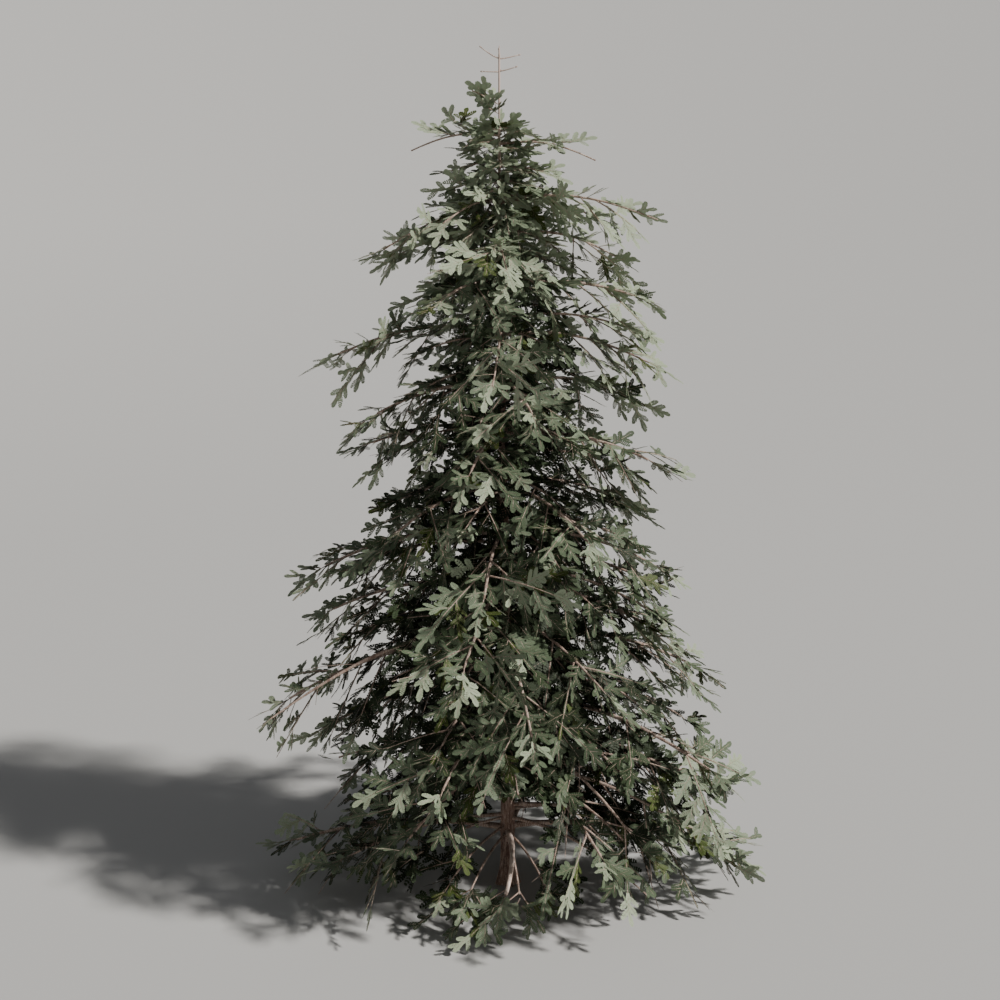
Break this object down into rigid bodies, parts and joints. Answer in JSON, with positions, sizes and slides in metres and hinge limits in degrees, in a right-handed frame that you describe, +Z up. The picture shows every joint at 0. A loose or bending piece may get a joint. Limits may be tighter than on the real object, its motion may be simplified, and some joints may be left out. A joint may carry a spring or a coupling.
{
  "type": "silver fir tree",
  "caption": "Young silver fir rooted in the ground: straight tapering trunk with root flare and bare leader, drooping boughs in levels and flat sprays of silvery green needles.",
  "frame": {"origin": "middle of the flat cut under the trunk, at ground level", "axes": "+Z up the trunk, +X to the right and -Y to the front as first seen"},
  "size_m": [3.7089, 3.1729, 6],
  "materials": {
    "bark": "rough reddish brown bark, paler where the light falls",
    "needles": "flat needles, dark green above with a silvery bloom"
  },
  "bodies": {
    "root": {"bough_01_a": "bark", "bough_01_b": "bark", "bough_01_c": "bark", "bough_01_d": "bark", "foliage_01_a": "needles", "foliage_01_b": "needles", "foliage_01_c": "needles", "foliage_01_d": "needles", "foliage_02_a": "needles", "foliage_02_b": "needles", "foliage_02_c": "needles", "foliage_02_d": "needles", "foliage_02_e": "needles", "foliage_03_a": "needles", "foliage_03_b": "needles", "foliage_03_c": "needles", "foliage_03_d": "needles", "foliage_04_a": "needles", "foliage_04_b": "needles", "foliage_04_c": "needles", "foliage_04_d": "needles", "foliage_05_a": "needles", "foliage_05_b": "needles", "foliage_05_c": "needles", "foliage_05_d": "needles", "foliage_06_a": "needles", "foliage_06_b": "needles", "foliage_06_c": "needles", "foliage_06_d": "needles", "foliage_07_a": "needles", "foliage_07_b": "needles", "foliage_07_c": "needles", "foliage_07_d": "needles", "foliage_08_a": "needles", "foliage_08_b": "needles", "foliage_08_c": "needles", "foliage_08_d": "needles", "foliage_09_a": "needles", "foliage_09_b": "needles", "foliage_09_c": "needles", "foliage_09_d": "needles", "foliage_10_a": "needles", "foliage_10_b": "needles", "foliage_10_c": "needles", "foliage_10_d": "needles", "foliage_11_a": "needles", "foliage_11_b": "needles", "foliage_11_c": "needles", "foliage_12_a": "needles", "foliage_12_b": "needles", "foliage_12_c": "needles", "foliage_13_a": "needles", "foliage_13_b": "needles", "foliage_13_c": "needles", "foliage_14_a": "needles", "foliage_14_b": "needles", "foliage_15_a": "needles", "foliage_15_b": "needles", "foliage_16_a": "needles", "trunk": "bark"}
  },
  "joints": []
}
